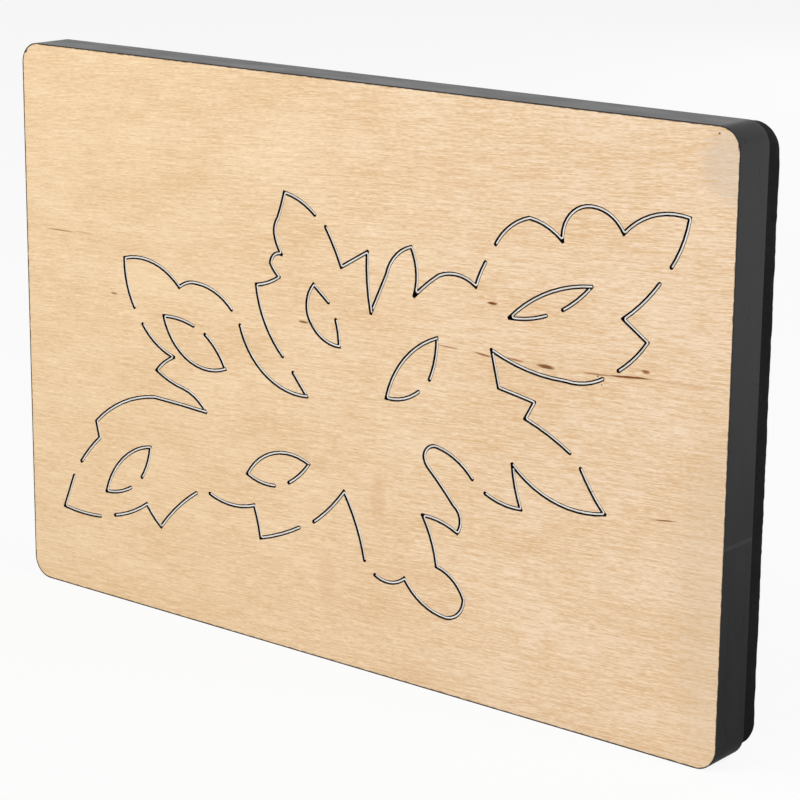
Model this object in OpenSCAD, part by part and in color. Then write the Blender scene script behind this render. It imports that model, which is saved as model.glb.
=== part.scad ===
// Steel rule die for cutting a spray of leaves.
// A slotted plywood board carries bent steel cutting rules, an edge band closes
// its rim, and ejection foam fills the cutting side around the blades.
// The die stands on its long edge, plywood face to the front, foam to the back.

/* [Board] */
// Width of the die over its edge band
die_w = 200; // [194:1:240]
// Height of the die over its edge band
die_h = 133; // [120:1:180]
// Thickness of the plywood board
board_t = 10.5; // [8:0.5:18]
// Radius of the die's four corners
corner_r = 5; // [3:0.5:12]

/* [Edge band] */
// Thickness of the edge band
band_t = 0.15; // [0.1:0.05:1]
// Height of the band's butt joint, on the right edge
band_joint_z = 48; // [20:1:100]
// Open gap at the band's butt joint
band_joint_gap = 0.15; // [0.1:0.05:0.5]
// Glue line between the band and the board
glue_line = 0.05; // [0.05:0.05:0.2]

/* [Leaf figure] */
// Least distance from the leaf figure's tips to the die's edge
leaf_margin = 11; // [8:0.5:20]

/* [Steel rule] */
// Thickness of the steel rule
rule_t = 0.53; // [0.45:0.01:0.75]
// Inside radius of a sharp bend in the rule
bend_inner_r = 0.1; // [0.04:0.02:0.12]
// Height of the bevel at the cutting edge
bevel_h = 0.7; // [0.4:0.1:1.2]
// Depth of the cutting edge below the foam's surface
edge_below_foam = 0.5; // [0.2:0.1:1]
// Depth of the rule's back below the plywood face
back_below_face = 0.3; // [0.1:0.05:0.5]
// Width of the broken corners of the rule's back
back_chamfer = 0.1; // [0.05:0.01:0.16]
// Gap between two rule ends that meet
rule_joint_gap = 0.1; // [0.05:0.05:0.3]

/* [Slots and bridges] */
// Room beside the rule in its slot, on each side
slot_clear = 0.22; // [0.1:0.02:0.3]
// Room between the end of a slot and the rule's back
notch_end_clear = 0.5; // [0.4:0.1:1.5]
// Room between a bridge and the notch over it
notch_clear = 0.3; // [0.2:0.1:0.8]

/* [Ejection foam] */
// Thickness of the ejection foam
foam_t = 5.5; // [4:0.5:8]
// Distance of the foam's left and right rims inside the edge band
foam_inset = 0.75; // [0.5:0.05:2]
// Distance of the foam's upper rim below the top of the edge band
foam_top_inset = 0.95; // [0.5:0.05:2]
// Distance of the foam's lower rim above the foot of the edge band
foam_foot_inset = 0.1; // [0.1:0.05:2]
// Radius of the foam's four corners
foam_corner_r = 6; // [3:0.5:12]
// Room beside the blade in the foam, on each side
foam_clear = 0.1; // [0.1:0.05:0.3]

/* [Hidden] */
die_t = board_t + foam_t;
board_inset = band_t + glue_line;
slot_w = rule_t + 2 * slot_clear;
slit_w = rule_t + 2 * foam_clear;
bend_r = bend_inner_r + rule_t / 2;

// Heights above the foam's surface
edge_z = edge_below_foam;
shoulder_z = edge_z + bevel_h;
notch_z = foam_t - notch_clear;
back_z = die_t - back_below_face;
chamfer_z = back_z - back_chamfer;

// Turn of the path above which a point is a corner, and above which its slot ends blunt
corner_turn = 25;
blunt_turn = 75;
// Largest turn of one facet on an arc and on a bend, and its largest distance from an arc
facet_turn = 10;
round_turn = 30;
facet_sag = 0.03;
// Facets of the die's corner circles
corner_fn = 96;
// Rounds of the search for the ends of a bend
bend_tries = 8;

WOOD = [0.94, 0.82, 0.65];
BAND = [0.27, 0.27, 0.28];
STEEL = [0.78, 0.78, 0.79];
FOAM = [0.11, 0.11, 0.11];

// The leaf figure on its own grid, in millimetres from the board's centre.
// A point is [x, y, rise]: rise is the height of the arc to the next point,
// on the left of the way. BRIDGE marks a stretch where the board is left uncut.
BRIDGE = true;

left_leaf = [
    [-41.5, -14.5, -0.75], [-48.5, -10, 0.4], [-57, -7, 0.4], [-51.5, -3, 1.1],
    [-61.7, 3.8, 0.1, BRIDGE], [-63.8, 6.7, 0.9], [-67, 18.5, 2.5], [-49.5, 14, 0.55],
    [-44, 15.7, 1.25], [-32.8, 10.7, 0.2, BRIDGE], [-30.7, 8.3, -4.5], [-10.5, -5.5]];

top_leaf = [
    [-10.5, -5.5, 0], [-14.9, -0.3, -0.1, BRIDGE], [-17.3, 2.3, 1.6], [-25.5, 18, -0.4],
    [-18.7, 20.7, 0.2], [-21.2, 23.5, 0.95], [-18, 26, 0.3], [-20, 30.5, 0.35],
    [-19, 34, -0.1], [-17, 40, 0.75], [-7.8, 35.8, 0.2, BRIDGE], [-5.3, 34.2, 0.25],
    [-0.5, 25.5, 0], [6.9, 29.8, -0.45], [8, 16.5]];

right_leaf = [
    [8, 16.5, 0], [12.2, 25.4, 1.35], [19, 32.5, 1.1], [20, 22, 0.2], [26.5, 27.3, 1.35],
    [36.5, 26.4, 0.2], [39.2, 32.3, 0, BRIDGE], [41.3, 35.7, 1.15], [50, 42.7, 0.75],
    [58.5, 39, 2.4], [65.5, 47, 1.25], [73.5, 42.5, 2.15], [89, 47.5, 0.65],
    [84.8, 36.7, 0.1, BRIDGE], [82.7, 33.8, 0.5], [74, 25, 0], [80, 21, 0.5],
    [72.8, 13.8, 0, BRIDGE], [69.8, 12, 0.85], [60, 9.8, 1.05], [41, 13.3]];

tail_upper = [
    [41, 13.3, 0], [43, 5.5, 0.05], [52.3, 3.9, 0], [50.1, 0, 0.4], [62.1, -5.6, 0.2, BRIDGE],
    [64.3, -7.8, -0.1], [67.3, -12.6]];

tail_lower = [[67.3, -12.6, -0.15], [70.8, -16.8, 3.1], [47, -10.6]];

bottom_leaf = [
    [47, -10.6, -0.35], [49.4, -20, 0.7], [39.5, -18.1, 0.2, BRIDGE], [36.7, -16.2, -1.1],
    [26.5, -10.4, -0.85], [23.2, -13, -0.3], [24.5, -15.6, 0.15], [31.4, -22.6, 1.4],
    [32.5, -28.7, -0.65], [23, -26.6, 0.6], [27, -37.5, 1.2], [34.5, -43.5, 1.5],
    [29.5, -48.7, 1.55], [18, -42.2, 1.5], [9.2, -42.9, 0.4, BRIDGE], [6.7, -40.8, -0.8],
    [0.5, -25.6, 0.5], [-8.8, -34.7, 0.1, BRIDGE], [-12.3, -36.4, 0.4],
    [-24.5, -41.5, -0.2], [-26.5, -34.1, 1.4], [-40.8, -33.8, -0.5, BRIDGE],
    [-44.3, -34.4, -0.7], [-56.4, -45.3, 0.25], [-61, -40.6, 0.6], [-72.2, -45.6, 0, BRIDGE],
    [-76.3, -46.7, 0.45], [-89, -46.5, 0], [-85.4, -37.7, 0.1, BRIDGE], [-83.2, -34.4, 0.3],
    [-76.5, -27, 0], [-77.5, -23, 1.75], [-58, -13.7, 0.1], [-41.5, -14.5]];

vein_figures = [
    [[-35.3, -3.2, -0.7], [-41.9, 4.2, -0.1, BRIDGE], [-44.7, 5.3, -0.55], [-54.5, 6.4, -4.9],
        [-35.3, -3.2]],
    [[-1.1, 8.8, -0.2], [-2.2, 13.8, -0.2, BRIDGE], [-3.8, 16.7, 0], [-8.5, 20.4, -0.9],
        [-10.2, 13.5, -1.8], [-1, 7.5, 0], [-1.1, 8.8]],
    [[66, 30.5, 0.4], [58.6, 24.4, 0.1, BRIDGE], [55.3, 23, 0.5], [45.5, 21, 2], [66, 30.5]],
    [[26.3, 13.6, 0.6], [24.2, 3.7, 0.3, BRIDGE], [21.8, 1.3, 1], [12.5, -1.9, 2.6],
        [26.3, 13.6]],
    [[-65.3, -28.3, 0.3], [-59.6, -26.3, 0.6], [-62.8, -34.6, 0.2, BRIDGE],
        [-65.8, -37.2, 0.65], [-74.4, -39.9, 1.45], [-65.3, -28.3]],
    [[-9.9, -21.2, 0.45], [-16.3, -26.9, 0.2, BRIDGE], [-19.7, -28.1, 0.7],
        [-28.5, -26.9, 3.75], [-9.9, -21.2]]];

// The figures at their real size: as large as the die's margins leave room for
outline_figures = [left_leaf, top_leaf, right_leaf, tail_upper, tail_lower, bottom_leaf];

function extent(axis) = let (v = [for (f = outline_figures) each [for (p = f) p[axis]]])
    max(v) - min(v);

figure_scale = min((die_w - 2 * leaf_margin) / extent(0), (die_h - 2 * leaf_margin) / extent(1));

function sized(figure) = [for (p = figure) [
    for (k = [0:len(p) - 1]) k < 3 ? p[k] * figure_scale : p[k]]];

outline = [for (f = outline_figures) sized(f)];
veins = [for (f = vein_figures) sized(f)];
outline_ring = ring_of(outline);
vein_rings = [for (v = veins) ring_of([v])];

// Vectors and angles
function xy(p) = [p[0], p[1]];
function unit(v) = v / norm(v);
function left_of(v) = [-v[1], v[0]];
function heading(v) = atan2(v[1], v[0]);
function ahead(h) = [cos(h), sin(h)];
function wrapped(a) = a - 360 * round(a / 360);
function total(list) = list * [for (v = list) 1];
function reversed(list) = [for (i = [len(list) - 1:-1:0]) list[i]];

// Stretch i of a figure runs from point i to point i + 1 on an arc. A closed figure
// goes on from its last point to its first.
function at(f, i) = f[(i + len(f)) % len(f)];
function chord(f, i) = xy(at(f, i + 1)) - xy(at(f, i));
function half_sweep(f, i) = 2 * atan(2 * at(f, i)[2] / norm(chord(f, i)));
function is_bridge(f, i) = at(f, i)[3] == BRIDGE;
function last_stretch(f) = len(f) - 2;

function stretch_len(f, i) = let (a = half_sweep(f, i))
    norm(chord(f, i)) * (a == 0 ? 1 : a * PI / 180 / sin(a));

// Point, heading and offset to the left at the length s on stretch i
function share(f, i, s) = s / stretch_len(f, i);

function point_at(f, i, s) = let (
        d = chord(f, i),
        a = half_sweep(f, i),
        mid = (xy(at(f, i)) + xy(at(f, i + 1))) / 2,
        r = a == 0 ? 0 : norm(d) / 2 / sin(a),
        w = a * (1 - 2 * share(f, i, s)))
    a == 0 ? xy(at(f, i)) + share(f, i, s) * d
    : mid - unit(d) * r * sin(w) + left_of(unit(d)) * r * (cos(w) - cos(a));

function heading_at(f, i, s) = heading(chord(f, i)) + half_sweep(f, i) * (1 - 2 * share(f, i, s));
function heading_into(f, i) = heading_at(f, i - 1, stretch_len(f, i - 1));
function offset_at(f, i, s, d) = point_at(f, i, s) + d * left_of(ahead(heading_at(f, i, s)));

// Lengths of the facets of stretch i from one length to another, the same for every piece
function stops(f, i, from, to) = let (
        whole = stretch_len(f, i),
        n = max(1, ceil(2 * abs(half_sweep(f, i)) / facet_turn), ceil(sqrt(abs(at(f, i)[2]) / facet_sag))),
        spare = whole / n / 4)
    concat(
        [from],
        [for (k = [1:1:n - 1]) let (s = whole * k / n) if (s > from + spare && s < to - spare) s],
        [to]);

// Turn at point i of a figure, and whether it is a corner
function turn_at(f, i) = wrapped(heading_at(f, i, 0) - heading_into(f, i));
function is_bend(f, i, closed = false) =
    (closed || i > 0 && i < len(f) - 1) && abs(turn_at(f, i)) > corner_turn;

// Lengths before and after corner i where a circle of radius r touches its two arcs.
// Each round of the search rounds the corner of the two tangents, and moves the touching
// points along their arcs.
function bend_ends(f, i, r, room = [0, 0], tries = bend_tries) = tries == 0 ? room : let (
        s = stretch_len(f, i - 1) - room[0],
        gap = point_at(f, i, room[1]) - point_at(f, i - 1, s),
        way = ahead(heading_at(f, i - 1, s)),
        next_way = ahead(heading_at(f, i, room[1])),
        turn = wrapped(heading(next_way) - heading(way)),
        need = r * tan(abs(turn) / 2),
        before = cross(gap, next_way) / cross(way, next_way),
        after = cross(way, gap) / cross(way, next_way))
    bend_ends(f, i, r, [room[0] - before + need, room[1] - after + need], tries - 1);

// Inner points of an arc about a centre, from a heading on through a turn
function round_points(centre, d, h, turn) = let (n = ceil(abs(turn) / round_turn))
    [for (k = [1:1:n - 1]) centre + d * left_of(ahead(h + turn * k / n))];

// Inner points of the rule's round bend at corner i
function bend_points(f, i) = let (
        room = bend_ends(f, i, bend_r),
        s = stretch_len(f, i - 1) - room[0],
        h = heading_at(f, i - 1, s),
        turn = wrapped(heading_at(f, i, room[1]) - h),
        arm = sign(turn) * bend_r)
    round_points(offset_at(f, i - 1, s, arm), -arm, h, turn);

// Centre line of a rule: points [x, y, notched], notched for the way to the next
function rule_line(f, start_trim) = [
    for (i = [0:last_stretch(f)]) let (
            last = i == last_stretch(f),
            bridge = is_bridge(f, i),
            bends = is_bend(f, i + 1),
            before_bridge = is_bridge(f, i + 1),
            after_bridge = is_bridge(f, i - 1),
            from = i == 0 ? start_trim : after_bridge ? notch_end_clear
                : is_bend(f, i) ? bend_ends(f, i, bend_r)[1] : 0,
            cut = before_bridge ? notch_end_clear : bends ? bend_ends(f, i + 1, bend_r)[0] : 0,
            way = bridge ? stops(f, i, 0, stretch_len(f, i))
                : stops(f, i, from, stretch_len(f, i) - cut),
            kept = !last && (bridge || cut == 0) ? len(way) - 2 : len(way) - 1)
        each concat(
            after_bridge ? [[f[i][0], f[i][1], true]] : [],
            [for (k = [0:kept]) let (p = point_at(f, i, way[k]))
                [p[0], p[1], bridge || (before_bridge && k == kept)]],
            bends ? [for (p = bend_points(f, i + 1)) [p[0], p[1], false]] : [])];

// Trim of a rule's start where it butts against the end of the rule before it
function butt_trim(before, f) = let (
        turn = wrapped(heading_at(f, 0, 0) - heading_into(before, len(before) - 1)),
        tip = 180 - abs(turn))
    abs(turn) < corner_turn ? rule_joint_gap
    : (rule_t / 2 + rule_joint_gap) / sin(tip) + rule_t / 2 / tan(tip);

// Point moved by d to the left where one way ends and the next begins
function mitre(p, way, next_way, d) = let (m = left_of(way) + left_of(next_way))
    xy(p) + m * 2 * d / (m * m);

// Points of a slot's corner i on its outer side: sharp, and blunt where the turn is large
function corner_points(f, i, d) = let (
        way = ahead(heading_into(f, i)),
        next_way = ahead(heading_at(f, i, 0)),
        turn = abs(turn_at(f, i)),
        reach = abs(d) * tan(min(turn, blunt_turn) / 2),
        p = xy(at(f, i)))
    concat(
        [p + d * left_of(way) + reach * way],
        turn > blunt_turn ? [p + d * left_of(next_way) - reach * next_way] : []);

// Line at the distance d to the left of a figure: trimmed inside a corner, sharp or round
// outside it
function is_inside(f, i, d) = turn_at(f, i) * d > 0;
function joint(f, i, d, bends, sharp) = !bends
    ? [mitre(at(f, i), ahead(heading_into(f, i)), ahead(heading_at(f, i, 0)), d)]
    : is_inside(f, i, d) ? []
    : sharp ? corner_points(f, i, d)
    : round_points(xy(at(f, i)), d, heading_into(f, i), turn_at(f, i));

function side(f, d, closed = false, trim = 0, sharp = false) = let (n = closed ? len(f) : len(f) - 1) [
    for (i = [0:n - 1]) let (
            first = !closed && i == 0,
            last = !closed && i == n - 1,
            bend = is_bend(f, i, closed),
            next_bend = is_bend(f, i + 1, closed),
            inside = bend && is_inside(f, i, d),
            next_inside = next_bend && is_inside(f, i + 1, d),
            from = first ? trim : inside ? bend_ends(f, i, abs(d))[1] : 0,
            cut = last ? trim : next_inside ? bend_ends(f, i + 1, abs(d))[0] : 0,
            way = stops(f, i, from, stretch_len(f, i) - cut),
            kept = last || (next_bend && !next_inside) ? len(way) - 1 : len(way) - 2)
        each concat(
            [for (k = [first || bend ? 0 : 1:1:kept]) offset_at(f, i, way[k], d)],
            last ? [] : joint(f, i + 1, d, next_bend, sharp))];

// Outline of a round-ended slot of the half width d, with its ends at those of an open figure
function slot_shape(f, d) = let (
        n = last_stretch(f),
        end = stretch_len(f, n) - d)
    concat(
        round_points(point_at(f, 0, d), -d, heading_at(f, 0, d), -180),
        side(f, d, trim = d, sharp = true),
        round_points(point_at(f, n, end), d, heading_at(f, n, end), -180),
        reversed(side(f, -d, trim = d, sharp = true)));

// Figures joined to a closed one, and its open stretches between the bridges
function ring_of(figures) = [for (f = figures) each [for (i = [0:last_stretch(f)]) f[i]]];

function slot_figures(ring) = let (
        n = len(ring),
        bridges = [for (i = [0:n - 1]) if (is_bridge(ring, i)) i])
    [for (k = [0:len(bridges) - 1]) let (
            from = bridges[k] + 1,
            to = k + 1 < len(bridges) ? bridges[k + 1] : bridges[0] + n)
        [for (i = [from:to]) at(ring, i)]];

// Closed figure moved outwards by d, or inwards where d is negative
function winding(ring) = let (n = len(ring))
    sign(total([for (i = [0:n - 1]) cross(xy(ring[i]), xy(at(ring, i + 1)))]));
function border(ring, d) = side(ring, -winding(ring) * d, closed = true);

// Pieces are laid out with the foam's surface at height 0, then stood upright
module upright() {
    translate([0, die_t / 2, die_h / 2])
        rotate([90, 0, 0])
            children();
}

// Rectangle about the centre, with corners of radius r
module plate(w, h, r) {
    square([w - 2 * r, h], center = true);
    square([w, h - 2 * r], center = true);
    for (x = [-1, 1], y = [-1, 1])
        translate([x * (w / 2 - r), y * (h / 2 - r)])
            circle(r, $fn = corner_fn);
}

// Die outline moved inwards
module die_shape(inset) {
    plate(die_w - 2 * inset, die_h - 2 * inset, corner_r - inset);
}

// Area inside a closed figure moved outwards by d
module blade_area(ring, d) {
    polygon(border(ring, d));
}

// Plywood board with its round-ended slots
module die_board() {
    color(WOOD) upright() translate([0, 0, foam_t]) linear_extrude(board_t)
        difference() {
            die_shape(board_inset);
            for (ring = concat([outline_ring], vein_rings))
                for (f = slot_figures(ring))
                    polygon(slot_shape(f, slot_w / 2));
        }
}

// Edge band round the board, open at its butt joint
module edge_band() {
    color(BAND) upright() translate([0, 0, foam_t]) linear_extrude(board_t)
        difference() {
            die_shape(0);
            die_shape(band_t);
            translate([die_w / 2 - corner_r / 2, band_joint_z - die_h / 2])
                square([corner_r, band_joint_gap], center = true);
        }
}

// Steel rule swept along its line, with a bevelled edge and bridge notches.
// Each station has nine points: back, chamfer, notch and shoulder on both sides, and edge.
module steel_rule(line) {
    n = len(line);
    function way_out(i) = unit(xy(line[i + 1]) - xy(line[i]));
    function flank(i, d) = let (
            way = way_out(max(i - 1, 0)),
            next_way = way_out(min(i, n - 2)))
        mitre(line[i], way, next_way, d);
    points = [for (i = [0:n - 1]) let (
            l = flank(i, rule_t / 2),
            r = flank(i, -rule_t / 2),
            bl = flank(i, rule_t / 2 - back_chamfer),
            br = flank(i, back_chamfer - rule_t / 2))
        each [
            [bl[0], bl[1], back_z], [br[0], br[1], back_z],
            [l[0], l[1], chamfer_z], [r[0], r[1], chamfer_z],
            [l[0], l[1], notch_z], [r[0], r[1], notch_z],
            [l[0], l[1], shoulder_z], [r[0], r[1], shoulder_z],
            [line[i][0], line[i][1], edge_z]]];
    per = 9;
    lb = 0; rb = 1; lc = 2; rc = 3; ln = 4; rn = 5; ls = 6; rs = 7; e = 8;
    function quad(i, a, b) = [i * per + a, i * per + b, (i + 1) * per + b, (i + 1) * per + a];
    walls = [for (i = [0:n - 2]) each concat(
        [quad(i, ln, ls), quad(i, ls, e), quad(i, e, rs), quad(i, rs, rn)],
        line[i][2] ? [quad(i, rn, ln)]
        : [quad(i, rn, rc), quad(i, rc, rb), quad(i, rb, lb), quad(i, lb, lc), quad(i, lc, ln)])];
    steps = [for (i = [1:n - 2]) if (line[i - 1][2] != line[i][2])
        let (q = [for (k = [lb, rb, rc, rn, ln, lc]) i * per + k])
        line[i][2] ? reversed(q) : q];
    near_end = [e, ls, ln, lc, lb, rb, rc, rn, rs];
    far_end = [for (k = [e, rs, rn, rc, rb, lb, lc, ln, ls]) k + (n - 1) * per];
    polyhedron(points, concat(walls, steps, [near_end, far_end]));
}

// Rule number k of the closed leaf outline
module outline_rule(k) {
    before = outline[(k + len(outline) - 1) % len(outline)];
    color(STEEL) upright()
        steel_rule(rule_line(outline[k], butt_trim(before, outline[k])));
}

// Rule number k of the vein eyes, closed on itself
module vein_rule(k) {
    color(STEEL) upright()
        steel_rule(rule_line(veins[k], butt_trim(veins[k], veins[k])));
}

// Foam outside the leaf outline
module surround_foam() {
    color(FOAM) upright() linear_extrude(foam_t)
        difference() {
            translate([0, (foam_foot_inset - foam_top_inset) / 2])
                plate(die_w - 2 * foam_inset, die_h - foam_top_inset - foam_foot_inset, foam_corner_r);
            blade_area(outline_ring, slit_w / 2);
        }
}

// Foam inside the leaf outline, round the vein eyes
module leaf_foam() {
    color(FOAM) upright() linear_extrude(foam_t)
        difference() {
            blade_area(outline_ring, -slit_w / 2);
            for (ring = vein_rings)
                blade_area(ring, slit_w / 2);
        }
}

// Foam inside vein eye number k
module vein_foam(k) {
    color(FOAM) upright() linear_extrude(foam_t)
        blade_area(vein_rings[k], -slit_w / 2);
}

die_board();
edge_band();
outline_rule(0);  // left_leaf_rule
outline_rule(1);  // top_leaf_rule
outline_rule(2);  // right_leaf_rule
outline_rule(3);  // tail_upper_rule
outline_rule(4);  // tail_lower_rule
outline_rule(5);  // bottom_leaf_rule
vein_rule(0);  // vein_rule_1
vein_rule(1);  // vein_rule_2
vein_rule(2);  // vein_rule_3
vein_rule(3);  // vein_rule_4
vein_rule(4);  // vein_rule_5
vein_rule(5);  // vein_rule_6
surround_foam();
leaf_foam();
vein_foam(0);  // vein_foam_1
vein_foam(1);  // vein_foam_2
vein_foam(2);  // vein_foam_3
vein_foam(3);  // vein_foam_4
vein_foam(4);  // vein_foam_5
vein_foam(5);  // vein_foam_6
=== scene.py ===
"""Looks of a steel rule die: veneer, edge band, bright rules and knife-cut ejection foam."""

import logging
from dataclasses import dataclass, field
from enum import Enum
from typing import Mapping, Sequence, Union

import bmesh
import bpy
import numpy as np
from mathutils import Matrix, Vector
from mathutils.geometry import delaunay_2d_cdt


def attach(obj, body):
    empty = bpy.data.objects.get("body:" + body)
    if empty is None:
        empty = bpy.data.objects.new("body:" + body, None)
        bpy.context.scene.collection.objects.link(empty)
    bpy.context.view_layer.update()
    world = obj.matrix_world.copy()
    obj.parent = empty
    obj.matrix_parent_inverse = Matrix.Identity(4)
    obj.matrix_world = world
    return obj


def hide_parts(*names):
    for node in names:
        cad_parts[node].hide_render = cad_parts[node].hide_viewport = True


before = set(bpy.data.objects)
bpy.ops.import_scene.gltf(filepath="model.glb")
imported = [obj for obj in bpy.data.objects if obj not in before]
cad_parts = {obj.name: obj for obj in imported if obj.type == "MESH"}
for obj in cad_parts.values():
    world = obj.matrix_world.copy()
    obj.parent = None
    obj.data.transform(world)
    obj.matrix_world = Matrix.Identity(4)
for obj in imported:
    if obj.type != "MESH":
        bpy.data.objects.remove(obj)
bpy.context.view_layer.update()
MM = 0.001
log = logging.getLogger("steel_rule_die")

Value = Union[float, Sequence[float], "Sock"]


class Slot(Enum):
    """Material slots of the record."""

    PLYWOOD = "plywood"
    BAND = "band"
    STEEL = "steel"
    FOAM = "foam"


class Ray(Enum):
    """Rays that show a surface and don't only light it, by the Light Path node's outputs."""

    CAMERA = "Is Camera Ray"
    MIRRORED = "Is Glossy Ray"
    THROUGH = "Is Transmission Ray"


@dataclass(frozen=True)
class Layer:
    """A layer of noise drawn out along the grain: cells in a millimetre along and across it."""

    along: float
    across: float
    depth: float
    detail: float = 2.0
    rough: float = 0.5
    weight: float = 1.0


def linear(code: str) -> tuple[float, float, float, float]:
    """Turns a screen colour into the linear one that shaders take.

    Args:
        code: Six hexadecimal digits after a hash.

    Returns:
        Linear red, green, blue and an alpha of one.
    """
    part = np.array([int(code[k:k + 2], 16) for k in (1, 3, 5)]) / 255.0
    low, high = part / 12.92, ((part + 0.055) / 1.055) ** 2.4
    return (*np.where(part <= 0.04045, low, high).tolist(), 1.0)


class Sock:
    """A shader socket that can stand in sums, so that shader maths reads as an expression."""

    def __init__(self, shader: "Shader", socket: bpy.types.NodeSocket) -> None:
        """Holds the socket and the shader that its Math nodes go into."""
        self.shader, self.socket = shader, socket

    def math(self, operation: str, *others: Value, clamp: bool = False) -> "Sock":
        """Adds a Math node with this socket first.

        Args:
            operation: Name of the operation.
            others: Further values or sockets.
            clamp: Whether the result is held between 0 and 1.

        Returns:
            The node's result.
        """
        settings = {"operation": operation, "use_clamp": clamp}
        return self.shader.node("ShaderNodeMath", settings, dict(enumerate((self, *others))))

    def __add__(self, other: Value) -> "Sock":
        """Adds."""
        return self.math("ADD", other)

    __radd__ = __add__

    def __sub__(self, other: Value) -> "Sock":
        """Subtracts."""
        return self.math("SUBTRACT", other)

    def __rsub__(self, other: Value) -> "Sock":
        """Subtracts from a number."""
        return self * -1.0 + other

    def __mul__(self, other: Value) -> "Sock":
        """Multiplies."""
        return self.math("MULTIPLY", other)

    __rmul__ = __mul__

    def __truediv__(self, other: Value) -> "Sock":
        """Divides."""
        return self.math("DIVIDE", other)

    def __rtruediv__(self, other: Value) -> "Sock":
        """Divides a number."""
        return self.math("POWER", -1.0) * other

    def __pow__(self, other: Value) -> "Sock":
        """Raises to a power."""
        return self.math("POWER", other)

    def __rpow__(self, other: Value) -> "Sock":
        """Raises a number to this power."""
        return self.shader.node("ShaderNodeMath", {"operation": "POWER"}, {0: other, 1: self})

    def __abs__(self) -> "Sock":
        """Takes the size without the sign."""
        return self.math("ABSOLUTE")

    def above(self, low: float, high: float) -> "Sock":
        """Rises smoothly from 0 at low to 1 at high.

        Args:
            low: Value at which the result leaves 0.
            high: Value at which it reaches 1.

        Returns:
            The smooth step.
        """
        return self.shader.node(
            "ShaderNodeMapRange", {"interpolation_type": "SMOOTHSTEP"},
            {"Value": self, "From Min": low, "From Max": high})

    def below(self, low: float, high: float) -> "Sock":
        """Falls smoothly from 1 at low to 0 at high."""
        return 1.0 - self.above(low, high)


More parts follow.
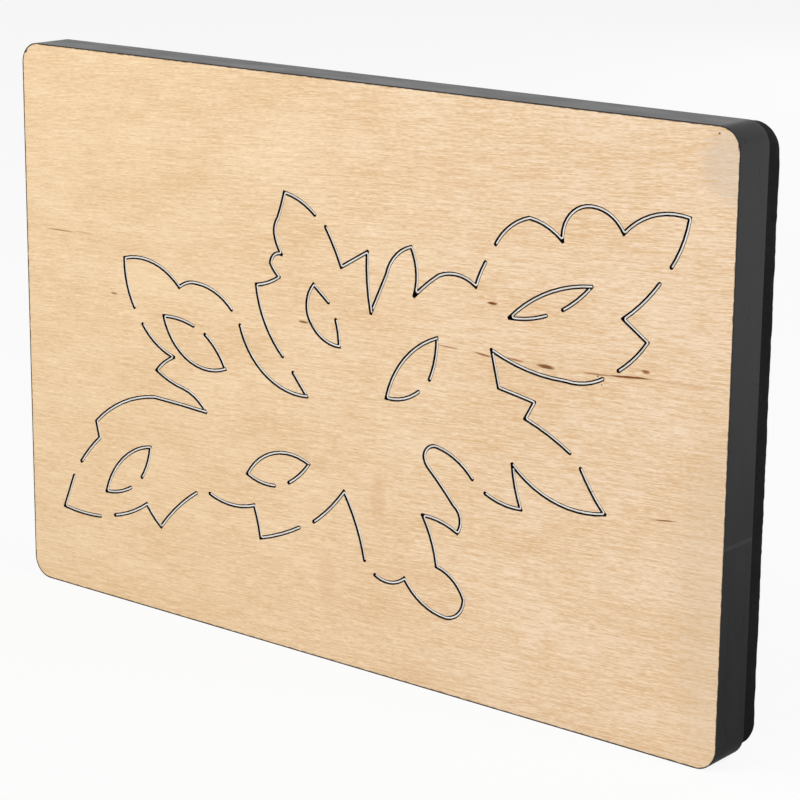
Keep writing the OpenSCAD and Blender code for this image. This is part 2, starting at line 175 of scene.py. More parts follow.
class Shader:
    """Node tree of a material or world, with the patterns that the finishes share."""

    def __init__(self, owner: Union[bpy.types.Material, bpy.types.World]) -> None:
        """Empties the owner's node tree."""
        owner.use_nodes = True
        self.owner, self.tree = owner, owner.node_tree
        self.tree.nodes.clear()

    @classmethod
    def named(cls, name: str) -> "Shader":
        """Makes the shader of a new material."""
        return cls(bpy.data.materials.new(name))

    def node(self, kind: str, settings: Mapping[str, object] | None = None,
             inputs: Mapping[Union[str, int], Value] | None = None,
             out: Union[str, int] = 0) -> Sock:
        """Adds a node.

        Args:
            kind: Type of the node.
            settings: The node's own settings, set before its sockets.
            inputs: Values or links by the socket's name or number.
            out: Name or number of the output that is wanted.

        Returns:
            That output.
        """
        made = self.tree.nodes.new(kind)
        for key, value in (settings or {}).items():
            setattr(made, key, value)
        for key, value in (inputs or {}).items():
            if isinstance(value, Sock):
                self.tree.links.new(value.socket, made.inputs[key])
            else:
                made.inputs[key].default_value = value
        return Sock(self, made.outputs[out])

    def place(self) -> tuple[Sock, Sock, Sock]:
        """Returns x, y and z of the point on the object, in millimetres."""
        at = self.node("ShaderNodeTexCoord", out="Object")
        scaled = self.node(
            "ShaderNodeVectorMath", {"operation": "SCALE"}, {0: at, "Scale": 1.0 / MM})
        split = self.node("ShaderNodeSeparateXYZ", None, {0: scaled}).socket.node
        return tuple(Sock(self, split.outputs[k]) for k in range(3))

    def facing(self) -> Sock:
        """Returns how squarely the surface faces the front or the back, from 0 to 1."""
        normal = self.node("ShaderNodeNewGeometry", out="True Normal")
        return abs(self.node("ShaderNodeSeparateXYZ", None, {0: normal}, out="Y"))

    def ray(self, kind: Ray) -> Sock:
        """Returns 1 for rays of a kind and 0 for all others."""
        return self.node("ShaderNodeLightPath", out=kind.value)

    def vector(self, x: Value, y: Value, z: Value) -> Sock:
        """Joins three values to a vector."""
        return self.node("ShaderNodeCombineXYZ", None, {0: x, 1: y, 2: z})

    def noise(self, at: Sock, detail: float = 2.0, rough: float = 0.5) -> Sock:
        """Returns soft noise about 0.5 with cells of about one unit.

        Args:
            at: Point in units of the cell.
            detail: Number of finer layers.
            rough: Share of each finer layer.

        Returns:
            The noise value.
        """
        return self.node("ShaderNodeTexNoise", {"noise_dimensions": "3D"},
                         {"Vector": at, "Scale": 1.0, "Detail": detail, "Roughness": rough})

    def drawn(self, layer: Layer, x: Sock, row: Sock) -> Sock:
        """Returns a layer's noise about 0.5, from the places along and across the grain."""
        at = self.vector(x * layer.along, layer.depth, row * layer.across)
        return self.noise(at, layer.detail, layer.rough)

    def cells(self, at: Sock) -> Sock:
        """Returns the distance to the nearest of scattered points, for foam cells."""
        return self.node("ShaderNodeTexVoronoi", {"feature": "F1"}, {"Vector": at, "Scale": 1.0},
                         out="Distance")

    def mix(self, share: Value, first: Value, second: Value) -> Sock:
        """Mixes two colours.

        Args:
            share: Share of the second colour.
            first: Colour at share 0.
            second: Colour at share 1.

        Returns:
            The mixed colour.
        """
        settings = {"data_type": "RGBA", "blend_type": "MIX", "clamp_factor": True}
        return self.node("ShaderNodeMix", settings, {0: share, 6: first, 7: second}, out=2)

    def bump(self, height: Sock, depth: float, strength: float = 1.0) -> Sock:
        """Returns the normal of a surface raised by a height.

        Args:
            height: Height from 0 to 1.
            depth: Height of 1 in metres.
            strength: Share of the effect.

        Returns:
            The bumped normal.
        """
        return self.node("ShaderNodeBump", None,
                         {"Height": height, "Distance": depth, "Strength": strength})

    def close(self, shown: Sock, kind: str = "ShaderNodeOutputMaterial") -> None:
        """Links what is shown to the tree's output.

        Args:
            shown: The shader.
            kind: Type of the output node.
        """
        end = self.tree.nodes.new(kind)
        self.tree.links.new(shown.socket, end.inputs["Surface"])

    def surface(self, **inputs: Value) -> bpy.types.Material:
        """Closes the tree with a principled shader.

        Args:
            inputs: Socket values by name, with an underscore for each blank.

        Returns:
            The finished material.
        """
        named = {key.replace("_", " "): value for key, value in inputs.items()}
        made = self.node("ShaderNodeBsdfPrincipled", None, named)
        self.close(made)
        return self.owner


@dataclass(frozen=True)
class Mark:
    """A streak, stain or chip on the veneer, in millimetres from the face's centre."""

    x: float
    y: float
    half_x: float
    half_y: float
    colour: str
    strength: float
    slope: float = 0.0


@dataclass(frozen=True)
class BirchVeneer:
    """Bare sanded birch face, charred in its slots and dark along its rim."""

    pale: str = "#F9DFBA"
    pale_right: str = "#F7DFC4"
    tan: str = "#DFB98B"
    fibre: str = "#C7A074"
    char: str = "#160B06"
    rim: str = "#2A1B12"
    half_w: float = 99.8
    half_h: float = 66.3
    corner_r: float = 4.8
    centre_z: float = 66.5
    grain_rise: float = 0.065
    wander: Layer = Layer(0.009, 0.025, 0.0, weight=3.2)
    cloud: Layer = Layer(0.03, 0.09, 3.0, 3.0, weight=0.9)
    streaks: Layer = Layer(0.07, 1.5, 5.0)
    fibres: Layer = Layer(0.2, 3.5, 7.0, 3.0, 0.6, 2.2)
    fine: Layer = Layer(0.62, 6.6, 11.0, 2.0, 0.6, 2.0)
    flecks: Layer = Layer(0.3, 4.0, 19.0, 1.0)
    ragged: Layer = Layer(0.5, 0.5, 23.0)
    bump_depth: float = 0.02 * MM
    marks: tuple[Mark, ...] = (
        Mark(98.5, 59.0, 8.0, 8.0, "#D2C1B0", 0.5),
        Mark(100.0, -30.0, 13.0, 42.0, "#D6BC9C", 0.3),
        Mark(29.5, 12.2, 3.0, 0.2, "#9C5A28", 0.7, -0.01),
        Mark(38.7, 12.0, 2.6, 0.26, "#8A4318", 0.85, -0.08),
        Mark(47.0, 12.25, 2.4, 0.26, "#96522A", 0.75, -0.05),
        Mark(54.9, 12.05, 2.7, 0.5, "#7A4018", 0.95),
        Mark(67.5, 12.5, 4.0, 0.22, "#9C5A28", 0.75, 0.05),
        Mark(75.8, 13.2, 6.0, 0.29, "#804419", 1.0, 0.085),
        Mark(90.0, 13.95, 11.0, 0.3, "#C08C5C", 0.3, 0.05),
        Mark(41.0, 23.4, 1.4, 0.36, "#7C4213", 1.0),
        Mark(-11.4, 11.5, 1.6, 0.3, "#80481A", 0.9),
        Mark(79.8, 15.0, 1.2, 0.4, "#9A602C", 1.0),
        Mark(-70.7, 9.5, 1.2, 0.32, "#96602E", 0.8),
        Mark(-88.5, 22.4, 5.0, 0.2, "#9C6030", 0.7, 0.02),
        Mark(-80.5, 22.8, 3.5, 0.2, "#B98A58", 0.5),
        Mark(10.3, -25.0, 2.4, 6.0, "#D6A675", 0.3),
        Mark(-4.5, -47.5, 2.8, 7.0, "#DBAD7F", 0.25),
        Mark(85.6, -15.2, 3.6, 0.15, "#84461C", 0.95, 0.12),
        Mark(68.2, 12.1, 0.25, 0.2, "#2A160A", 0.9),
        Mark(69.2, 10.5, 0.25, 0.16, "#4A2A14", 0.8),
        Mark(95.0, 64.9, 0.3, 0.25, "#4A2E1C", 0.9),
        Mark(99.7, 63.0, 0.5, 1.2, "#5A2C18", 0.9),
        Mark(-99.0, 64.9, 0.9, 1.0, "#0C0907", 1.0),
    )

    def material(self) -> bpy.types.Material:
        """Builds the finish.

        The tone is noise drawn out along the grain: wide clouds, long streaks, fibres and
        short flecks, and it grows livelier to the right. Marks are soft ellipses, and the rim
        line follows the distance to a rectangle with round corners.

        Returns:
            The material.
        """
        s = Shader.named("birch_veneer")
        x, _, z = s.place()
        up = z - self.centre_z
        wander = (s.drawn(self.wander, x, up) - 0.5) * self.wander.weight
        row = up - x * self.grain_rise + wander
        cloud = s.drawn(self.cloud, x, row)
        fibres, fine = s.drawn(self.fibres, x, row), s.drawn(self.fine, x, row)
        flecks = s.drawn(self.flecks, x, row)
        lively = x.above(-70.0, 80.0) * 0.3 + 0.85
        grain = ((s.drawn(self.streaks, x, row) - 0.5) + (fibres - 0.5) * self.fibres.weight
                 + (fine - 0.5) * self.fine.weight)
        tone = grain * lively + (cloud - 0.5) * self.cloud.weight + 0.5
        base = s.mix(x.above(-80.0, 100.0), linear(self.pale), linear(self.pale_right))
        colour = s.mix(tone, base, linear(self.tan))
        colour = s.mix(flecks.above(0.66, 0.8) * lively * 0.4, colour, linear(self.fibre))
        for mark in self.marks:
            along = (x - mark.x) / mark.half_x
            across = (up - mark.y - (x - mark.x) * mark.slope) / mark.half_y
            edge = (along ** 2.0 + across ** 2.0) + (fibres - 0.5) * 2.4
            colour = s.mix(edge.below(0.2, 1.2) * mark.strength, colour, linear(mark.colour))
        side = abs(x) - (self.half_w - self.corner_r)
        top = abs(up) - (self.half_h - self.corner_r)
        reach = (side.math("MAXIMUM", 0.0) ** 2.0 + top.math("MAXIMUM", 0.0) ** 2.0) ** 0.5
        inside = self.corner_r - reach - side.math("MAXIMUM", top).math("MINIMUM", 0.0)
        worn = (inside - (s.drawn(self.ragged, x, up) - 0.35) * 0.5).below(0.0, 0.1)
        colour = s.mix(worn * 0.8, colour, linear(self.rim))
        colour = s.mix(s.facing().below(0.3, 0.7), colour, linear(self.char))
        height = fibres * 0.6 + fine * 0.4 - flecks.above(0.6, 0.75) * 0.5
        return s.surface(Base_Color=colour, Roughness=0.58 + (fine - 0.5) * 0.2,
                         Specular_IOR_Level=0.2, Normal=s.bump(height, self.bump_depth, 0.5))


@dataclass(frozen=True)
class Smear:
    """A black shred of foam or glue over the band's rear top edge, in millimetres."""

    x: float
    half_x: float
    width: float


@dataclass(frozen=True)
class BandPlastic:
    """Dark grey matt edge band with drawn streaks, dust, black smears and a pale joint."""

    body: str = "#252526"
    dust: str = "#303031"
    worn: str = "#4C4C4D"
    black: str = "#0A0A0A"
    side_x: float = 100.0
    back_y: float = 2.5
    top_z: float = 133.0
    joint_z: float = 48.0
    bump_depth: float = 0.02 * MM
    smears: tuple[Smear, ...] = (
        Smear(-91.0, 3.4, 0.8), Smear(-86.0, 1.6, 0.7), Smear(-62.0, 3.0, 0.35),
        Smear(-37.5, 0.7, 1.1), Smear(-33.0, 3.4, 0.6), Smear(-26.0, 4.0, 0.75),
        Smear(-21.5, 2.2, 1.0), Smear(-15.5, 2.0, 0.5), Smear(38.6, 0.9, 0.5),
        Smear(-74.0, 1.2, 0.3),
    )

    def material(self) -> bpy.types.Material:
        """Builds the finish: a dark body with streaks along the band, smears and a pale joint.

        Returns:
            The material.
        """
        s = Shader.named("band_plastic")
        x, y, z = s.place()
        cloud = s.noise(s.vector(x * 0.08, y * 0.3, z * 0.08), 3.0)
        streak = s.noise(s.vector(x * 0.15, y * 4.0, z * 0.15), 3.0)
        specks = s.noise(s.vector(x * 3.0, y * 3.0, z * 3.0), 1.0)
        share = (cloud - 0.5) * 0.9 + (streak - 0.5) * 0.5 + 0.3
        colour = s.mix(share, linear(self.body), linear(self.dust))
        side = x.above(self.side_x - 1.0, self.side_x - 0.5)
        joint = abs(z - self.joint_z).below(0.1, 0.45) * side
        colour = s.mix(joint * 0.6, colour, linear(self.worn))
        colour = s.mix(specks.above(0.74, 0.82) * 0.35, colour, linear(self.worn))
        ragged = (s.noise(s.vector(x * 0.9, y * 0.9, 5.0), 2.0) - 0.5) * 0.9
        top = z.above(self.top_z - 1.0, self.top_z - 0.4)
        for smear in self.smears:
            along = abs(x - smear.x) / smear.half_x
            across = (self.back_y - y) / smear.width
            black = (along ** 2.0 + across + ragged).below(0.75, 0.95)
            colour = s.mix(black * top, colour, linear(self.black))
        height = streak * 0.6 + specks * 0.4
        return s.surface(Base_Color=colour, Roughness=0.3 + (cloud - 0.5) * 0.2,
                         Specular_IOR_Level=0.11, Normal=s.bump(height, self.bump_depth, 0.4))


@dataclass(frozen=True)
class RuleSteel:
    """Bright cold-rolled rule: pale back and a ground bevel, with broken corners and sides painted
    near black as painted shade of the slot gap.
    """

    bright: str = "#FAF7F4"
    dull: str = "#D2C8C0"
    # The next two colours paint the broken corners and the sides near black: painted shade of the
    # slot gap round the rule.
    corner: str = "#1C1714"
    shaded_flank: str = "#1C1815"
    shoulder_y: float = 6.8
    bump_depth: float = 0.006 * MM

    def material(self) -> bpy.types.Material:
        """Builds the finish: tone by how squarely the steel faces front or back, with streaks, and
        painted shade on the sides and broken corners.

        Returns:
            The material.
        """
        s = Shader.named("rule_steel")
        x, y, z = s.place()
        facing = s.facing()
        streak = s.noise(s.vector(x * 0.5, y * 6.0, z * 0.5), 3.0)
        spots = s.noise(s.vector(x * 0.3, y * 0.3, z * 0.3), 2.0)
        ground = y.above(self.shoulder_y - 0.05, self.shoulder_y + 0.05)
        share = (streak - 0.5) * 0.8 + (spots - 0.5) * 1.0 + 0.3
        back = s.mix(share, linear(self.bright), linear(self.dull))
        # Painted shade: the sides facing into the slot and the broken corners take the near-black
        # colours instead of bright steel.
        side = s.mix((spots - 0.5) * 0.8 + 0.1, linear(self.shaded_flank), linear(self.corner))
        edge = s.mix(facing.above(0.8, 0.95), linear(self.corner), back)
        colour = s.mix(facing.above(0.2, 0.5), side, edge)
        colour = s.mix(ground, colour, linear(self.bright))
        return s.surface(Base_Color=colour, Metallic=0.6, Roughness=0.3 + (spots - 0.5) * 0.3,
                         Normal=s.bump(streak, self.bump_depth, 0.5))


@dataclass(frozen=True)
class CutFoam:
    """Black closed-cell foam: fine cells on its face, coarser torn ones where it is cut."""

    body: str = "#141415"
    pale: str = "#212122"
    pore: str = "#080808"
    small_cells: float = 3.2
    large_cells: float = 1.3
    bump_depth: float = 0.12 * MM

    def material(self) -> bpy.types.Material:
        """Builds the finish: two sizes of cells, cut streaks on the walls and faint dust.

        Returns:
            The material.
        """
        s = Shader.named("cut_foam")
        x, y, z = s.place()
        wall = s.facing().below(0.4, 0.8)
        small, large = (s.cells(s.vector(x * scale, y * scale, z * scale))
                        for scale in (self.small_cells, self.large_cells))
        torn = s.noise(s.vector(x * 0.6, y * 3.5, z * 0.6), 4.0, 0.6)
        cloud = s.noise(s.vector(x * 0.05, y * 0.05, z * 0.05), 3.0)
        colour = s.mix((cloud - 0.5) * 1.2 + (torn - 0.5) * wall + 0.35,
                       linear(self.body), linear(self.pale))
        pores = small.below(0.1, 0.4) * 0.6 + large.below(0.1, 0.35) * (0.25 + wall * 0.5)
        colour = s.mix(pores * 0.7, colour, linear(self.pore))
        height = small * 0.5 + large * 0.4 + torn * wall * 0.8
        return s.surface(Base_Color=colour, Roughness=0.9 + (cloud - 0.5) * 0.15,
                         Specular_IOR_Level=0.06, Normal=s.bump(height, self.bump_depth, 0.7))


def lattice_noise(points: np.ndarray, seed: int) -> np.ndarray:
    """Smooth noise between -1 and 1 on whole arrays.

    Each corner of the unit cell round a point gets a fixed value from a hash of its whole
    numbers, and the eight values are blended with smooth steps of the point's place in the cell.

    Args:
        points: Array of points, with the three coordinates last.
        seed: Number that picks the pattern.

    Returns:
        One value for each point.
    """
    cell = np.floor(points).astype(np.int64)
    part = points - cell
    part = part * part * (3.0 - 2.0 * part)
    corner = np.stack(np.meshgrid([0, 1], [0, 1], [0, 1], indexing="ij"), -1).reshape(8, 3)
    whole = cell[..., None, :] + corner
    code = whole @ np.array([73856093, 19349663, 83492791]) + seed * 2654435761
    code = (code ^ (code >> 13)) * 1274126177 & 0x7FFFFFFF
    code = (code ^ (code >> 16)) * 668265263 & 0x7FFFFFFF
    value = (code ^ (code >> 11)) % 65536 / 32767.5 - 1.0
    weight = np.where(corner == 1, part[..., None, :], 1.0 - part[..., None, :]).prod(-1)
    return (value * weight).sum(-1)


def closed_loops(tails: np.ndarray, heads: np.ndarray) -> list[np.ndarray]:
    """Puts directed edges in order, as closed loops of point numbers.

    Each edge points at the one that starts where it ends. Doubling these pointers gives, in a
    few rounds, the least number in each loop and then every edge's count of steps to it.

    Args:
        tails: Point at the start of each edge, each only once.
        heads: Point at the end of each edge.

    Returns:
        The loops, each as its point numbers in order.
    """
    order = np.argsort(tails)
    after = order[np.searchsorted(tails, heads, sorter=order)]
    rounds = int(np.ceil(np.log2(len(tails)))) + 1
    least, jump = np.arange(len(tails)), after
    for _ in range(rounds):
        least, jump = np.minimum(least, least[jump]), jump[jump]
    root = least == np.arange(len(tails))
    steps, jump = np.where(root, 0, 1), np.where(root, np.arange(len(tails)), after)
    for _ in range(rounds):
        steps, jump = steps + steps[jump], jump[jump]
    return [tails[np.flatnonzero(least == k)[np.argsort(-steps[least == k])]]
            for k in np.unique(least)]


@dataclass
class PlywoodBoard:
    """Slotted plywood board, kept as the CAD has it."""

    node: str = "die_board"
    slot: Slot = Slot.PLYWOOD
    finish: BirchVeneer = field(default_factory=BirchVeneer)

    def dress(self) -> None:
        """Gives the board its veneer."""
        dress_nodes((self.node,), self.slot, self.finish.material())


@dataclass
class EdgeBand:
    """Band round the board's rim, kept as the CAD has it."""

    node: str = "edge_band"
    slot: Slot = Slot.BAND
    finish: BandPlastic = field(default_factory=BandPlastic)

    def dress(self) -> None:
        """Gives the band its plastic."""
        dress_nodes((self.node,), self.slot, self.finish.material())


@dataclass
class CuttingRules:
    """Bent steel rules of the leaf outline and of the vein eyes, kept as the CAD has them."""

    nodes: tuple[str, ...]
    slot: Slot = Slot.STEEL
    finish: RuleSteel = field(default_factory=RuleSteel)

    def dress(self) -> None:
        """Gives the rules their steel."""
        dress_nodes(self.nodes, self.slot, self.finish.material())


def dress_nodes(nodes: Sequence[str], slot: Slot, material: bpy.types.Material) -> None:
    """Puts a material on CAD nodes.

    Args:
        nodes: Names of the nodes.
        slot: Slot of the record that the nodes have.
        material: The finish that they get.
    """
    for name in nodes:
        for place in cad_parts[name].material_slots:
            place.material = material
        log.info("%s of slot %s dressed as %s", name, slot.value, material.name)


@dataclass
class EjectionFoam:
    """Foam pieces between and round the blades, built over the outlines of their CAD solids."""

    nodes: tuple[str, ...]
    outer_node: str = "surround_foam"
    finish: CutFoam = field(default_factory=CutFoam)
    spacing: float = 0.9 * MM
    grid: float = 3.0 * MM
    slit_round: float = 0.07 * MM
    rim_round: float = 0.35 * MM
    slit_rough: float = 0.03 * MM
    rim_rough: float = 0.16 * MM
    rim_reach: float = 0.07 * MM
    swell: float = 0.05 * MM
    levels: int = 7
    round_steps: int = 4
    rim_span: float = 190.0 * MM
    same_point: float = 1e-7
    sharp_degrees: float = 50.0

    def outlines(self, node: str) -> tuple[list[np.ndarray], float, float]:
        """Reads the loops round the free face of a foam solid.

        The free face's triangles are those at the greatest y. An edge of theirs that no other
        one runs back along lies on the outline. Across is -x and up is z, so that the foam is
        on the left of each loop's way.

        Args:
            node: Name of the foam's CAD node.

        Returns:
            The loops as arrays of points, and the solid's least and greatest y.
        """
        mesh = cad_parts[node].data
        points = np.empty(len(mesh.vertices) * 3, np.float32)
        mesh.vertices.foreach_get("co", points)
        points = points.reshape(-1, 3).astype(float)
        mesh.calc_loop_triangles()
        faces = np.empty(len(mesh.loop_triangles) * 3, np.int32)
        mesh.loop_triangles.foreach_get("vertices", faces)
        _, first, same = np.unique(
            np.round(points, 7), axis=0, return_index=True, return_inverse=True)
        faces = same.reshape(-1)[faces].reshape(-1, 3)
        points = points[first]
        low, high = points[:, 1].min(), points[:, 1].max()
        flat = points[:, [0, 2]] * (-1.0, 1.0)
        faces = faces[(points[faces][..., 1] > high - 1e-6).all(1)]
        a, b, c = (flat[faces[:, k]] for k in range(3))
        turn = (b - a)[:, 0] * (c - a)[:, 1] - (b - a)[:, 1] * (c - a)[:, 0]
        faces = np.where((turn < 0)[:, None], faces[:, ::-1], faces)[turn != 0]
        edges = np.concatenate([faces[:, [0, 1]], faces[:, [1, 2]], faces[:, [2, 0]]])
        count = len(points)
        alone = ~np.isin(edges @ (count, 1), edges[:, ::-1] @ (count, 1))
        loops = closed_loops(*edges[alone].T)
        return [flat[loop] for loop in loops], low, high

    def walked(self, loop: np.ndarray) -> np.ndarray:
        """Sets points along a loop no further apart than the spacing, and keeps its own.

        Args:
            loop: The loop's points.

        Returns:
            The closer points.
        """
        step = np.roll(loop, -1, 0) - loop
        parts = np.maximum(1, np.ceil(np.linalg.norm(step, axis=1) / self.spacing)).astype(int)
        which = np.repeat(np.arange(len(loop)), parts)
        share = (np.arange(parts.sum()) - np.repeat(np.cumsum(parts) - parts, parts)) / parts[which]
        return loop[which] + share[:, None] * step[which]

    @staticmethod
    def outwards(loop: np.ndarray) -> np.ndarray:
        """Gives the way out of the foam at each point of a loop.

        It is the sum of the right-hand normals of the edges before and after the point, made as
        long as a mitre needs and no more than one and a half times.

        Args:
            loop: The loop's points.

        Returns:
            One vector for each point.
        """
        way = np.roll(loop, -1, 0) - loop
        way /= np.linalg.norm(way, axis=1, keepdims=True)
        right = np.stack([way[:, 1], -way[:, 0]], 1)
        both = right + np.roll(right, 1, 0)
        return both * 2.0 / np.maximum((both * both).sum(1, keepdims=True), 1.8)

    def wall(self, loop: np.ndarray, low: float, high: float, outer: bool
             ) -> tuple[np.ndarray, np.ndarray]:
        """Carries the cut wall's profile along a loop.

        The profile rises straight from the board and ends in a quarter round. Each of its
        points is moved along the way out by noise of its place. At a slit this only takes foam
        away, so that the blade stays clear, and at the rim it stands out less than the inset.

        Args:
            loop: The loop's points.
            low: Height of the board's face.
            high: Height of the foam's free face.
            outer: Whether this is the die's own rim.

        Returns:
            The wall's points as a grid of loop by profile, and its quads.
        """
        radius = self.rim_round if outer else self.slit_round
        turn = np.linspace(0.0, np.pi / 2, self.round_steps)
        heights = np.concatenate([
            np.linspace(low, high - radius, self.levels)[:-1],
            high - radius + radius * np.sin(turn)])
        inset = np.concatenate([np.zeros(self.levels - 1), radius * (1.0 - np.cos(turn))])
        across = np.broadcast_to(loop[:, None, :], (len(loop), len(heights), 2))
        place = np.concatenate([across, np.broadcast_to(
            heights[None, :, None], (*across.shape[:2], 1))], -1) / MM
        rough = (lattice_noise(place * (0.35, 0.35, 0.5), 5) * 0.6
                 + lattice_noise(place * (1.1, 1.1, 1.4), 9) * 0.4)
        torn = np.minimum(self.rim_rough * rough, self.rim_reach)
        move = torn if outer else self.slit_rough * (rough - 1.0)
        move = move * np.clip((heights - low) / MM, 0.0, 1.0)
        flat = across + self.outwards(loop)[:, None, :] * (move - inset)[..., None]
        grid = np.stack([-flat[..., 0], np.broadcast_to(heights, flat.shape[:2]), flat[..., 1]], -1)
        rows, columns = grid.shape[:2]
        i, k = np.meshgrid(np.arange(rows), np.arange(columns - 1), indexing="ij")
        j = (i + 1) % rows
        this, following = i * columns + k, j * columns + k
        quads = np.stack([this, following, following + 1, this + 1], -1)
        return grid, quads.reshape(-1, 4)

    @staticmethod
    def within(points: np.ndarray, tails: np.ndarray, heads: np.ndarray) -> np.ndarray:
        """Tells which points lie inside closed rings.

        A point is inside when a ray from it towards greater x crosses the rings' edges an odd
        number of times.

        Args:
            points: The points to test.
            tails: Start of each edge of the rings.
            heads: End of each edge.

        Returns:
            True for each point inside.
        """
        x, y = points[:, :1], points[:, 1:]
        rise = np.where(heads[:, 1] == tails[:, 1], 1.0, heads[:, 1] - tails[:, 1])
        crossing = tails[:, 0] + (y - tails[:, 1]) / rise * (heads[:, 0] - tails[:, 0])
        spans = (tails[:, 1] > y) != (heads[:, 1] > y)
        return (spans & (crossing > x)).sum(1) % 2 == 1

    def cap(self, rings: Sequence[np.ndarray], height: float, spread: bool
            ) -> tuple[np.ndarray, np.ndarray]:
        """Fills the face inside rings of points, and leaves out its holes.

        Args:
            rings: The rings' points, each with x, y and z.
            height: The face's y.
            spread: Whether points on a grid give the face its gentle swell.

        Returns:
            The face's points and its triangles, seen from the side of greatest y.
        """
        flat = np.concatenate(rings)[:, [0, 2]] * (-1.0, 1.0)
        size = np.array([len(ring) for ring in rings])
        start = np.repeat(np.cumsum(size) - size, size)
        number = np.arange(len(flat))
        after = start + (number - start + 1) % np.repeat(size, size)
        extra = np.empty((0, 2))
        if spread:
            lines = [np.arange(a + self.grid / 2, b, self.grid)
                     for a, b in zip(flat.min(0), flat.max(0))]
            extra = np.stack(np.meshgrid(*lines, indexing="ij"), -1).reshape(-1, 2)
            shift = lattice_noise(np.pad(extra / MM * 0.7, ((0, 0), (0, 1))), 3)[:, None]
            extra = extra + shift * self.grid * 0.2
        found = delaunay_2d_cdt(
            [Vector(p) for p in np.concatenate([flat, extra])],
            np.stack([number, after], 1).tolist(), [], 2, 1e-9)
        points, triangles = np.array(found[0]), np.array(found[2])
        triangles = triangles[self.within(points[triangles].mean(1), flat, flat[after])]
        used, renumbered = np.unique(triangles, return_inverse=True)
        points, triangles = points[used], renumbered.reshape(-1, 3)
        inner = used >= len(flat)
        swell = self.swell * (lattice_noise(np.pad(points / MM * 0.12, ((0, 0), (0, 1))), 13) - 1.0)
        y = np.where(inner, height + swell, height)
        return np.stack([-points[:, 0], y, points[:, 1]], 1), triangles

    def piece(self, node: str, material: bpy.types.Material) -> bpy.types.Object:
        """Builds one foam piece from its walls and its two faces.

        Args:
            node: CAD node that the piece stands for.
            material: The foam's finish.

        Returns:
            The finished object.
        """
        loops, low, high = self.outlines(node)
        loops = [self.walked(loop) for loop in loops]
        outer = [node == self.outer_node and np.ptp(loop[:, 0]) > self.rim_span for loop in loops]
        walls = [self.wall(loop, low, high, rim) for loop, rim in zip(loops, outer)]
        parts = [(grid.reshape(-1, 3), quads) for grid, quads in walls]
        parts.append(self.cap([grid[:, -1] for grid, _ in walls], high, True))
        back, triangles = self.cap([grid[:, 0] for grid, _ in walls], low, False)
        parts.append((back, triangles[:, ::-1]))
        mesh = bpy.data.meshes.new(node + "_cut")
        offset = np.cumsum([0, *(len(points) for points, _ in parts)])
        faces = [face for (_, group), start in zip(parts, offset)
                 for face in (group + start).tolist()]
        mesh.from_pydata(np.concatenate([points for points, _ in parts]).tolist(), [], faces)
        work = bmesh.new()
        work.from_mesh(mesh)
        bmesh.ops.remove_doubles(work, verts=work.verts, dist=self.same_point)
        work.to_mesh(mesh)
        work.free()
        mesh.polygons.foreach_set("use_smooth", np.ones(len(mesh.polygons), bool))
        mesh.set_sharp_from_angle(angle=np.radians(self.sharp_degrees))
        mesh.materials.append(material)
        piece = bpy.data.objects.new(node + "_cut", mesh)
        bpy.context.scene.collection.objects.link(piece)
        log.info("%s built with %d faces", piece.name, len(mesh.polygons))
        return piece

    def build(self) -> None:
        """Builds every foam piece in place of its solid."""
        material = self.finish.material()
        for node in self.nodes:
            piece = self.piece(node, material)
            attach(piece, "root")
            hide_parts(node)


@dataclass(frozen=True)
class Lamp:
    """A soft square lamp: its place, aim and side in metres, and its power."""

    name: str
    place: tuple[float, float, float]
    aim: tuple[float, float, float]
    size: float
    watts: float


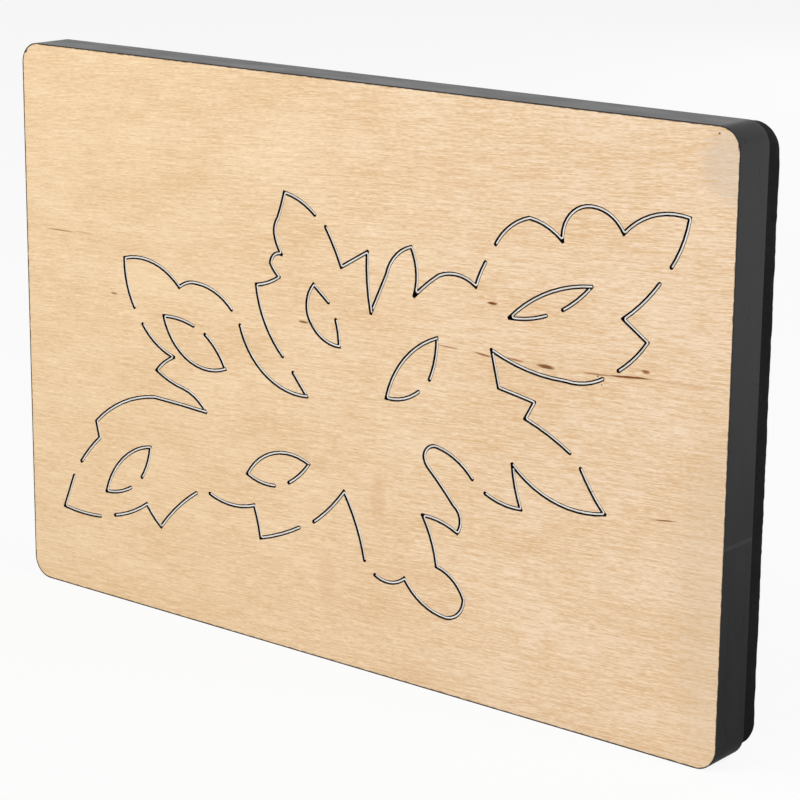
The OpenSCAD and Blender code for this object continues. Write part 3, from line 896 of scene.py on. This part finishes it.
@dataclass
class Studio:
    """Pale floor, soft light, white surroundings and the camera."""

    eye: tuple[float, float, float] = (0.3661, -0.4420, 0.2100)
    ahead: tuple[float, float, float] = (-0.6072, 0.7535, -0.2521)
    above: tuple[float, float, float] = (-0.1653, 0.1905, 0.9677)
    lens_mm: float = 119.2
    sensor_mm: float = 36.0
    clip_m: tuple[float, float] = (0.01, 50.0)
    floor_half: float = 4.0
    floor_cells: int = 8
    floor_colour: str = "#C2C2C0"
    floor_white: float = 0.9
    # Painted shadow on the floor's glow in mirrored views: how much of the glow stays, and the
    # patch's centre, reach and start along x, in millimetres.
    painted_shadow_level: float = 0.1
    painted_shadow_centre_mm: float = 100.0
    painted_shadow_reach_mm: float = 450.0
    painted_shadow_from_mm: tuple[float, float] = (60.0, 110.0)
    sky: float = 0.3
    ceiling: float = 0.3
    ceiling_from: tuple[float, float] = (0.0, 0.55)
    lamps: tuple[Lamp, ...] = (
        Lamp("key", (-0.26, -0.52, 0.72), (0.0, 0.0, 0.066), 0.5, 6.5),
        Lamp("back", (-0.1, 1.2, 0.25), (0.0, 0.0, 0.066), 0.4, 8.0),
        Lamp("side", (0.42, -0.01, 0.42), (0.1, 0.0, 0.12), 0.25, 2.2),
    )

    @staticmethod
    def seen(shader: Shader) -> Sock:
        """Returns 1 for rays that show the surroundings, and 0 for those that only light."""
        return sum((shader.ray(kind) for kind in Ray), start=0.0).math("MINIMUM", 1.0)

    def world(self) -> None:
        """Sets even light, white where it is seen, with a darker ceiling in mirrored views."""
        world = bpy.data.worlds.new("studio")
        shader = Shader(world)
        way = shader.node("ShaderNodeTexCoord", out="Generated")
        height = shader.node("ShaderNodeSeparateXYZ", None, {0: way}, out="Z")
        high = height.above(*self.ceiling_from)
        mirrored = 1.0 - high * (1.0 - shader.ray(Ray.CAMERA)) * (1.0 - self.ceiling)
        strength = self.seen(shader) * (mirrored - self.sky) + self.sky
        light = shader.node("ShaderNodeBackground", None, {
            "Color": (1.0, 1.0, 1.0, 1.0), "Strength": strength})
        shader.close(light, "ShaderNodeOutputWorld")
        bpy.context.scene.world = world

    def floor(self) -> None:
        """Lays the floor as a grid, white where it is seen but for the die's soft shadow.

        In mirrored views its glow dims towards the foot of the right side: a painted shadow of the
        die.
        """
        count = self.floor_cells + 1
        line = np.linspace(-self.floor_half, self.floor_half, count)
        x, y = np.meshgrid(line, line, indexing="ij")
        points = np.stack([x, y, np.zeros_like(x)], -1).reshape(-1, 3)
        i, k = np.meshgrid(np.arange(count - 1), np.arange(count - 1), indexing="ij")
        this = (i * count + k).reshape(-1)
        quads = np.stack([this, this + count, this + count + 1, this + 1], -1)
        mesh = bpy.data.meshes.new("floor")
        mesh.from_pydata(points.tolist(), [], quads.tolist())
        shader = Shader.named("floor")
        plain = shader.node("ShaderNodeBsdfDiffuse", None, {"Color": linear(self.floor_colour)})
        x, y, _ = shader.place()
        # Painted shadow: for mirrored rays the glow falls towards the die's right foot, within this
        # patch.
        reach = ((x - self.painted_shadow_centre_mm) ** 2.0 + y ** 2.0) ** 0.5
        painted_shadow_patch = reach.below(0.0, self.painted_shadow_reach_mm) * x.above(*self.painted_shadow_from_mm)
        glow = 1.0 - painted_shadow_patch * (1.0 - shader.ray(Ray.CAMERA)) * (1.0 - self.painted_shadow_level)
        white = shader.node("ShaderNodeEmission", None, {
            "Color": (1.0, 1.0, 1.0, 1.0), "Strength": glow})
        both = shader.node("ShaderNodeMixShader", None, {
            0: self.seen(shader) * self.floor_white, 1: plain, 2: white})
        shader.close(both)
        mesh.materials.append(shader.owner)
        floor = bpy.data.objects.new("floor", mesh)
        bpy.context.scene.collection.objects.link(floor)

    @staticmethod
    def hang(lamp: Lamp) -> None:
        """Hangs a lamp.

        Args:
            lamp: The lamp's numbers.
        """
        light = bpy.data.lights.new(lamp.name, "AREA")
        light.shape, light.size, light.energy = "SQUARE", lamp.size, lamp.watts
        hung = bpy.data.objects.new(lamp.name, light)
        hung.location = lamp.place
        hung.rotation_mode = "QUATERNION"
        way = Vector(lamp.aim) - Vector(lamp.place)
        hung.rotation_quaternion = way.to_track_quat("-Z", "Y")
        bpy.context.scene.collection.objects.link(hung)

    def camera(self) -> None:
        """Sets the camera at the photograph's place, from its view and upward directions."""
        ahead = Vector(self.ahead).normalized()
        right = ahead.cross(Vector(self.above)).normalized()
        up = right.cross(ahead)
        data = bpy.data.cameras.new("camera")
        data.lens, data.sensor_width, data.sensor_fit = self.lens_mm, self.sensor_mm, "AUTO"
        data.clip_start, data.clip_end = self.clip_m
        camera = bpy.data.objects.new("camera", data)
        turn = Matrix((right, up, -ahead)).transposed()
        camera.matrix_world = Matrix.Translation(Vector(self.eye)) @ turn.to_4x4()
        bpy.context.scene.collection.objects.link(camera)
        bpy.context.scene.camera = camera

    def build(self) -> None:
        """Sets up the whole studio."""
        bpy.context.scene.view_settings.view_transform = "Standard"
        self.camera()
        self.world()
        self.floor()
        for lamp in self.lamps:
            self.hang(lamp)


def main() -> None:
    """Builds the sub-assemblies in order."""
    logging.basicConfig(level=logging.INFO, format="%(name)s: %(message)s")
    names = list(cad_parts)
    Studio().build()
    PlywoodBoard().dress()
    EdgeBand().dress()
    CuttingRules(tuple(n for n in names if "_rule" in n)).dress()
    EjectionFoam(tuple(n for n in names if "_foam" in n)).build()


if __name__ == "__main__":
    main()
